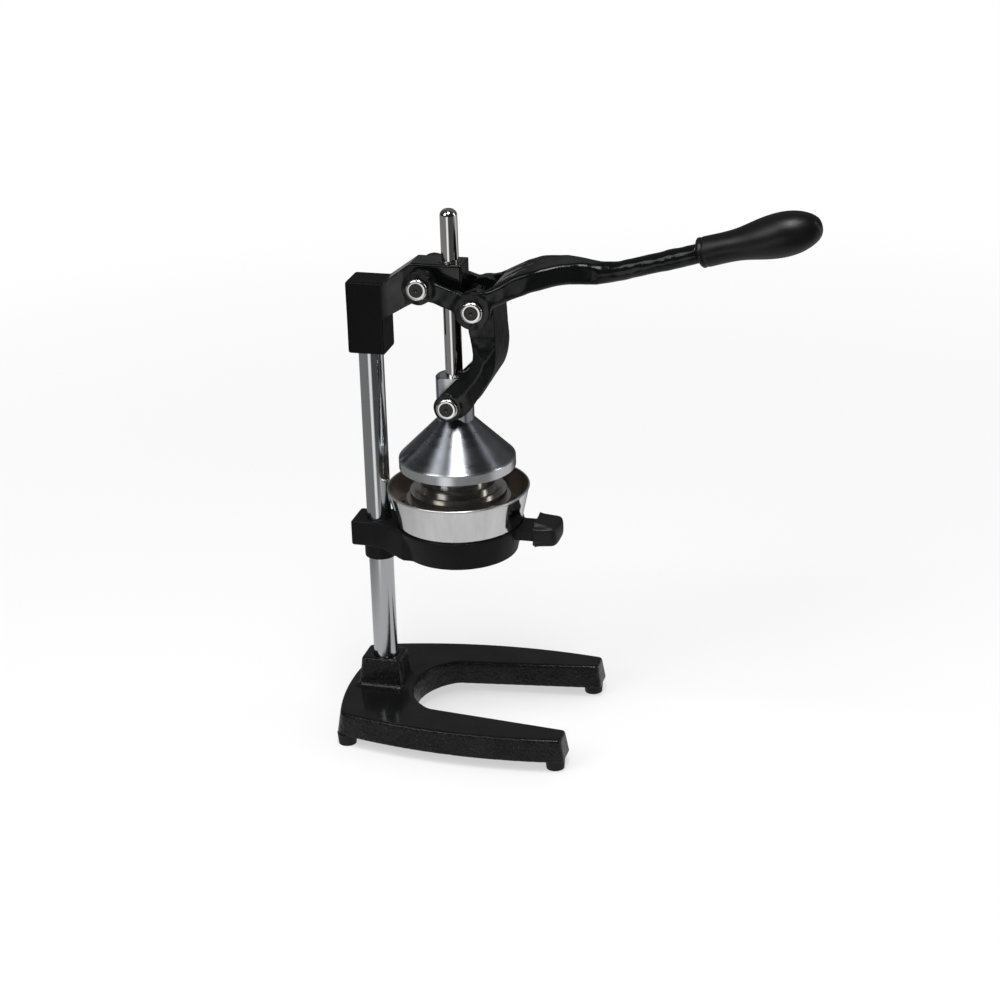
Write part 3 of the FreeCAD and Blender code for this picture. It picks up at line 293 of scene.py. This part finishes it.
def bowl_metal():
    """Mirror outside, its colour streaked upright as painted reflections; inside brushed round,
    with a warmer tone and painted darker as shade in the hollow; the rolled rim is duller.
    """
    finish = Finish("bowl_steel", (0.78, 0.77, 0.76), metallic=1.0, roughness=0.08)
    level = finish.node("ShaderNodeVectorMath", {"operation": "MULTIPLY"},
                         {0: finish.spot, 1: (1.0, 1.0, 0.0)})
    spoke = finish.node("ShaderNodeVectorMath", {"operation": "SUBTRACT"},
                        {0: level, 1: (PRESS_AXIS, 0.0, 0.0)})
    normal = finish.node("ShaderNodeNewGeometry", output="Normal")
    outward = finish.node("ShaderNodeVectorMath", {"operation": "DOT_PRODUCT"},
                          {0: spoke, 1: normal}, output="Value")
    inside = finish.ramp(outward + finish.facing("Z") * -0.01, -0.004, 0.004, 1.0, 0.0)
    marks = lathe_marks(finish, 0.5)
    drawn = finish.noise(26.0, 2.0, 0.5, finish.stretched(1.0, 1.0, 0.25))
    finish.bump(marks * (0.03 + inside * 0.5) + drawn * 6.0, 0.02)
    # Painted reflections: upright stripes in the outside's colour, for the bands that its mirror
    # shows.
    painted_reflection_streaks = finish.noise(9.0, 3.0, 0.6, finish.stretched(1.0, 1.0, 0.12))
    polished = finish.blend(painted_reflection_streaks, (0.7, 0.7, 0.7), (0.98, 0.98, 0.98))
    rim_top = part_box("juice_bowl")[1][2]
    rim = finish.ramp(finish.part("Z"), rim_top - 3.2 * MM, rim_top - 2.4 * MM)
    finish.set(roughness=0.09 + rim * 0.2 + inside * (1.0 - rim) * (0.14 + 0.16 * marks),
               # Painted shade: the inside's colour is darker than the outside's, for the shade in
               # the hollow, and warmer.
               base_color=finish.blend(inside, polished, (0.5, 0.455, 0.41)))
    return finish.material


# Finishes. Grain, depth and pitch are in millimetres.

CONE_FOOT = 259.8             # height at which the bell's cone starts above its band
CONE_TOP_RADIUS = 12.5

GLOSS = enamel("gloss_enamel", (0.003, 0.0032, 0.0032), grain=6.0, depth=0.4, top_share=0.6,
               rough=0.12, shine=0.1, gloss=0.45)
HEAD = enamel("head_enamel", (0.002, 0.0021, 0.0021), grain=2.4, depth=0.06, top_share=0.6,
              rough=0.14, shine=0.1, gloss=0.7, dull_to=19.0)
# The base's enamel has painted highlights, as light specks on its upright faces.
HAMMER = enamel("base_enamel", (0.004, 0.004, 0.0042), grain=2.4, depth=1.0, top_share=0.02,
                rough=0.15, shine=0.2, gloss=0.2, glint_paint=0.026)
CHARCOAL = enamel("bracket_enamel", (0.0045, 0.0045, 0.0047), grain=1.6, depth=0.03,
                  top_share=1.0, rough=0.46, shine=0.1, gloss=0.12)
GRIP = moulded("grip_plastic", (0.004, 0.004, 0.0045), rough=0.36, grain=0.7, depth=0.012)
KNOB = moulded("knob_plastic", (0.006, 0.006, 0.006), rough=0.46, grain=0.6, depth=0.02)
RUBBER = moulded("foot_rubber", (0.008, 0.008, 0.008), rough=0.6, grain=0.5, depth=0.03)
POST = bar("post_chrome", (0.62, 0.64, 0.65), rough=0.14)
ROD = bar("rod_chrome", (0.72, 0.71, 0.7), rough=0.06)
# The two cone colours are painted shade on the bell's slope.
BELL = turned_metal("bell_aluminium", (0.7, 0.72, 0.74), rough=0.3, pitch=0.7, depth=0.0015,
                    streak=0.75, cone=((0.24, 0.25, 0.275), (0.33, 0.35, 0.38)))
STRAINER = turned_metal("strainer_steel", (0.56, 0.54, 0.52), rough=0.2, pitch=0.9,
                        depth=0.001, streak=0.3)
BOWL = bowl_metal()
RING = bar("ring_chrome", (0.84, 0.84, 0.83), rough=0.17)
PIN = bar("pin_steel", (0.065, 0.063, 0.06), rough=0.45)
SCREW = bar("fastener_steel", (0.45, 0.45, 0.46), rough=0.3)
BUSH = bar("bush_steel", (0.2, 0.19, 0.18), rough=0.35)

CAD_FINISHES = {
    "rubber_feet": RUBBER, "foot_screws": SCREW, "column_post": POST, "column_base_bolt": SCREW,
    "column_base_washer": SCREW, "head_set_screw": SCREW, "rod_guide_bush": BUSH,
    "bracket_set_screw": SCREW, "fulcrum_pin": PIN, "fulcrum_pin_rings": RING,
    "link_upper_pins": PIN, "link_upper_pin_rings": RING, "lower_pin": PIN,
    "lower_pin_rings": RING, "press_rod": ROD, "press_bell": BELL, "hub_set_screw": SCREW,
    "base_casting": HAMMER, "head_casting": HEAD, "cup_bracket": CHARCOAL,
    "bracket_handle_grip": KNOB, "juice_bowl": BOWL, "strainer_cone": STRAINER,
    "lever_casting": GLOSS, "lever_grip": GRIP, "link_casting": GLOSS,
}

for node, finish in CAD_FINISHES.items():
    for slot in NODES[node].material_slots:
        slot.material = finish


# Pieces

def new_piece(name, mesh, body, finish, slot, *nodes):
    """Hang a finished mesh on its body in the place of CAD nodes."""
    piece = bpy.data.objects.new(name, mesh)
    bpy.context.scene.collection.objects.link(piece)
    mesh.materials.clear()
    mesh.materials.append(finish)
    for polygon in mesh.polygons:
        polygon.use_smooth = True
    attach(piece, body)
    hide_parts(*nodes)
    return piece


def settled(source, modifiers):
    """Mesh that source has after modifiers, given as (type, settings)."""
    work = bpy.data.objects.new("work", source.copy())
    bpy.context.scene.collection.objects.link(work)
    for kind, settings in modifiers:
        modifier = work.modifiers.new(kind.lower(), kind)
        for name, value in settings.items():
            setattr(modifier, name, value)
    bpy.context.view_layer.update()
    shown = work.evaluated_get(bpy.context.evaluated_depsgraph_get())
    mesh = bpy.data.meshes.new_from_object(shown)
    bpy.data.objects.remove(work)
    return mesh


def relief(name, size):
    """Soft random relief for a Displace modifier; size in millimetres."""
    texture = bpy.data.textures.new(name, "CLOUDS")
    texture.noise_scale = size * MM
    texture.noise_depth = 1
    return texture


def rounder(mesh, spans, passes):
    """Round the edges further where x lies in one of the spans, in millimetres from the post."""
    work = bmesh.new()
    work.from_mesh(mesh)
    chosen = [corner for corner in work.verts
              if any(low < corner.co.x / MM + SHIFT < high for low, high in spans)]
    for _ in range(passes):
        bmesh.ops.smooth_vert(work, verts=chosen, factor=0.5, use_axis_x=True, use_axis_y=True,
                              use_axis_z=True)
    work.to_mesh(mesh)
    work.free()


def casting(name, node, body, finish, slot, voxel, passes, dent=0.0, dent_size=0.0):
    """A casting with the soft edges that its mould leaves, and dents up to dent deep."""
    steps = [
        ("REMESH", {"mode": "VOXEL", "voxel_size": voxel * MM, "adaptivity": 0.0}),
        ("SMOOTH", {"factor": 0.5, "iterations": passes}),
    ]
    if dent:
        steps.append(("DISPLACE", {"texture": relief(name + "_skin", dent_size),
                                   "texture_coords": "LOCAL", "mid_level": 1.0,
                                   "strength": dent * MM}))
    mesh = settled(NODES[node].data, steps)
    return new_piece(name, mesh, body, finish, slot, node)


# Where the lever is a bar, clear of its bosses.
LEVER_ARMS = ((66.0, 84.0), (112.0, 262.0))

casting("base_enamelled", "base_casting", "frame", HAMMER, "base_enamel", voxel=1.1, passes=3)
casting("head_enamelled", "head_casting", "frame", HEAD, "gloss_enamel", voxel=0.7, passes=4,
        dent=0.25, dent_size=22.0)
lever = casting("lever_enamelled", "lever_casting", "lever", GLOSS, "gloss_enamel", voxel=0.7,
                passes=6, dent=1.3, dent_size=11.0)
rounder(lever.data, LEVER_ARMS, passes=26)
casting("link_enamelled", "link_casting", "link", GLOSS, "gloss_enamel", voxel=0.6, passes=5,
        dent=0.5, dent_size=12.0)
casting("bracket_enamelled", "cup_bracket", "frame", CHARCOAL, "bracket_enamel", voxel=0.7,
        passes=8)


KNOB_START = 145.7
KNOB_LENGTH = 20.2
KNOB_HEIGHT = 193.75          # of its axis
KNOB_RIBS = 12
KNOB_SIDES = 96


def knob_ring(mesh, share, inset=1.0, out=0.0):
    """One ring of the hand knob's points, at a share of its length, drawn in by inset."""
    swell = math.sin(math.pi * (0.3 + 0.55 * share))
    flare = 1.6 * max(0.0, 1.0 - share / 0.3) ** 2
    half_width = (15.2 + 2.2 * swell + 0.6 * flare) * inset
    half_height = (8.9 + 2.0 * swell - 0.4 * share + flare) * inset
    power = 0.45 + 0.5 * (1.0 - inset)
    rib = 0.85 * max(0.0, 1.0 - share / 0.75) ** 0.6
    row = []
    for step in range(KNOB_SIDES):
        turn = 2 * math.pi * (step + 0.5) / KNOB_SIDES
        c, s = math.cos(turn), math.sin(turn)
        y = half_width * math.copysign(abs(c) ** power, c)
        z = half_height * math.copysign(abs(s) ** power, s)
        along = math.atan2(z, y * half_height / half_width)
        push = 1.0 + rib * math.cos(KNOB_RIBS * along) / 12.0
        row.append(mesh.verts.new(place(KNOB_START + KNOB_LENGTH * share + out, y * push,
                                        KNOB_HEIGHT + z * push)))
    return row


def hand_knob():
    """The bracket's knob: a rounded block with ribs that run out before its domed front."""
    mesh = bmesh.new()
    rows = [knob_ring(mesh, 0.0, 0.96)]
    rows += [knob_ring(mesh, share) for share in (0.03, 0.1, 0.2, 0.32, 0.45, 0.6, 0.75, 0.88)]
    rows += [knob_ring(mesh, 0.97, 0.96)]
    rows += [knob_ring(mesh, 1.0, inset, out)
             for inset, out in ((0.86, 0.6), (0.66, 1.6), (0.4, 2.2), (0.15, 2.4))]
    for low, high in zip(rows, rows[1:]):
        for step, corner in enumerate(low):
            following = (step + 1) % len(low)
            mesh.faces.new((corner, low[following], high[following], high[step]))
    mesh.faces.new(rows[-1])
    mesh.faces.new(list(reversed(rows[0])))
    bmesh.ops.recalc_face_normals(mesh, faces=mesh.faces)
    shape = bpy.data.meshes.new("hand_knob")
    mesh.to_mesh(shape)
    mesh.free()
    smooth = settled(shape, [("SUBSURF", {"levels": 1})])
    return new_piece("hand_knob", smooth, "frame", KNOB, "knob_plastic", "bracket_handle_grip")


GRIP_RISE = math.radians(15.7)
GRIP_START = 291.0            # X of the collar's end, on the grip's axis
SHAFT_POINT = (284.8, 454.2)  # a point on that axis, in X and Z
GRIP_BORE = 8.0               # nothing nearer the axis is shaped
SEAM_HEIGHT = 0.3
SEAM_WIDTH = 0.55
GROOVE_DEPTH = 0.6
GROOVE_WIDTH = 1.1
GROOVE_RUN = 5.0              # from the collar's end


def moulded_grip():
    """The grip with its seam along the mould's parting and a groove behind the collar."""
    mesh = settled(NODES["lever_grip"].data, [
        ("REMESH", {"mode": "VOXEL", "voxel_size": 0.6 * MM, "adaptivity": 0.0}),
        ("SMOOTH", {"factor": 0.5, "iterations": 4}),
    ])
    along = Vector((math.cos(GRIP_RISE), 0.0, math.sin(GRIP_RISE)))
    x, z = SHAFT_POINT
    start = place(GRIP_START, 0.0, z + (GRIP_START - x) * math.tan(GRIP_RISE))
    for vertex in mesh.vertices:
        offset = vertex.co - start
        run = offset.dot(along)
        outward = offset - run * along
        if outward.length < GRIP_BORE * MM:
            continue
        seam = math.exp(-(vertex.co.y / (SEAM_WIDTH * MM)) ** 2)
        groove = math.exp(-((run / MM - GROOVE_RUN) / GROOVE_WIDTH) ** 2)
        lower = SEAM_HEIGHT * (1.0 - seam) + GROOVE_DEPTH * groove
        vertex.co -= outward.normalized() * lower * MM
    return new_piece("moulded_grip", mesh, "lever", GRIP, "grip_plastic", "lever_grip")


hand_knob()
moulded_grip()


# Camera

CAMERA_ANGLES = (15.423, 22.695, -1.762)      # azimuth, elevation and roll, in degrees
CAMERA_SPOT = (673.40, -2032.28, 1101.13)
LENS = 93.13
SENSOR = 36.0

camera = bpy.data.objects.new("camera", bpy.data.cameras.new("camera"))
bpy.context.scene.collection.objects.link(camera)
azimuth, elevation, roll = (math.radians(a) for a in CAMERA_ANGLES)
back = Vector((math.sin(azimuth) * math.cos(elevation), -math.cos(azimuth) * math.cos(elevation),
               math.sin(elevation)))
level_right = Vector((math.cos(azimuth), math.sin(azimuth), 0.0))
level_up = back.cross(level_right)
right = math.cos(roll) * level_right + math.sin(roll) * level_up
up = math.cos(roll) * level_up - math.sin(roll) * level_right
camera.matrix_world = Matrix.Translation(place(*CAMERA_SPOT)) @ Matrix(
    (right, up, back)).transposed().to_4x4()
camera.data.sensor_fit = "HORIZONTAL"
camera.data.sensor_width = SENSOR
camera.data.lens = LENS
bpy.context.scene.camera = camera


# Floor and light. Lengths here are in metres, and bearings in degrees, to the right of the
# line from the press to the camera.

FLOOR_HALF = 12.0
# Tones and bearings of the painted reflections that the floor shows to glossy rays.
PAPER_EDGE = (0.34, 0.56)     # the paper that metal reflects fades out between these
PAPER_TONE = 0.56
PAINTED_ROOM_TONE = 0.05
PAINTED_SCREEN_LEFT = -20.0
PAINTED_SCREEN_BEHIND = 98.0
SKY_LIGHT = 0.6

floor_mesh = bpy.data.meshes.new("floor")
corners = [(x * FLOOR_HALF, y * FLOOR_HALF, 0) for x, y in ((-1, -1), (1, -1), (1, 1), (-1, 1))]
floor_mesh.from_pydata(corners, [], [(0, 1, 2, 3)])
floor = bpy.data.objects.new("floor", floor_mesh)
bpy.context.scene.collection.objects.link(floor)
paper = Finish("paper_floor", (0.86, 0.86, 0.86), roughness=0.9, specular_ior_level=0.1)
floor_mesh.materials.append(paper.material)
out = paper.math("SQRT", paper.part("X") * paper.part("X") + paper.part("Y") * paper.part("Y"))
white = paper.node("ShaderNodeEmission", None, {"Color": (1, 1, 1, 1), "Strength": 1.0})
lit = paper.node("ShaderNodeMixShader", None, {
    0: paper.ray("Camera") * paper.ramp(out, 0.45, 1.6, 0.55, 1.0),
    1: Shade(paper, paper.surface.outputs[0]), 2: white})
# Glossy and transmission rays see the floor glow with painted reflections instead of its lit
# colour: the white paper round the press, and past its edge a dark surround with painted white
# screens on the left of the camera and behind the press.
from_press = paper.part("X") - (PRESS_X / 2 - SHIFT) * MM
ahead = from_press * math.sin(azimuth) - paper.part("Y") * math.cos(azimuth)
aside = from_press * math.cos(azimuth) + paper.part("Y") * math.sin(azimuth)
bearing = paper.math("ARCTAN2", aside, ahead) * (180 / math.pi)
painted_left_screen = paper.ramp(abs(bearing - PAINTED_SCREEN_LEFT), 7.0, 17.0, 1.0, 0.0)
painted_left_wall = paper.ramp(bearing, -50.0, -8.0, 0.18, 0.03)
painted_back_screen = paper.ramp(abs(bearing - PAINTED_SCREEN_BEHIND), 22.0, 36.0, 0.5, 0.0)
far_tone = painted_left_screen + painted_left_wall + painted_back_screen + PAINTED_ROOM_TONE
far_share = paper.ramp(out, *PAPER_EDGE)
shown = (1.0 - far_share) * PAPER_TONE + far_share * far_tone
tone = paper.node("ShaderNodeCombineColor", None, {0: shown, 1: shown, 2: shown})
painted_surround = paper.node("ShaderNodeEmission", None, {"Color": tone, "Strength": 1.0})
mixed = paper.node("ShaderNodeMixShader", None,
                   {0: paper.ray("Glossy", "Transmission"), 1: lit, 2: painted_surround})
paper.tree.links.new(mixed.socket, paper.output.inputs["Surface"])

world = bpy.data.worlds.new("studio")
bpy.context.scene.world = world
world.use_nodes = True
studio = Nodes(world.node_tree, "Generated")
background = world.node_tree.nodes["Background"]
behind = studio.ramp(studio.part("Y"), -0.2, 0.9, 0.03, 0.17) * studio.ramp(
    studio.part("Z"), 0.08, 0.36, 0.2, 1.0)
mirrored = studio.ray("Glossy", "Transmission")
looked_at = studio.ray("Camera")
studio.feed(background.inputs["Strength"],
            looked_at + (1.0 - looked_at) * (mirrored * behind + (1.0 - mirrored) * SKY_LIGHT))
background.inputs["Color"].default_value = (1, 1, 1, 1)


def softbox(name, spot, width, height, watts):
    """A soft lamp at spot, turned to the middle of the press."""
    lamp = bpy.data.lights.new(name, "AREA")
    lamp.shape = "RECTANGLE"
    lamp.size = width
    lamp.size_y = height
    lamp.energy = watts
    piece = bpy.data.objects.new(name, lamp)
    bpy.context.scene.collection.objects.link(piece)
    piece.location = spot
    piece.rotation_euler = (LIT_POINT - Vector(spot)).to_track_quat("-Z", "Y").to_euler()


LIT_POINT = Vector((-0.02, 0.0, 0.25))

softbox("key_light", (-1.1, -1.3, 1.6), width=0.8, height=1.3, watts=13.0)
softbox("side_light", (1.7, 0.4, 1.0), width=0.3, height=1.2, watts=4.0)
softbox("top_light", (0.07, -0.6, 1.75), width=0.5, height=0.75, watts=16.0)

bpy.context.scene.view_settings.view_transform = "Standard"
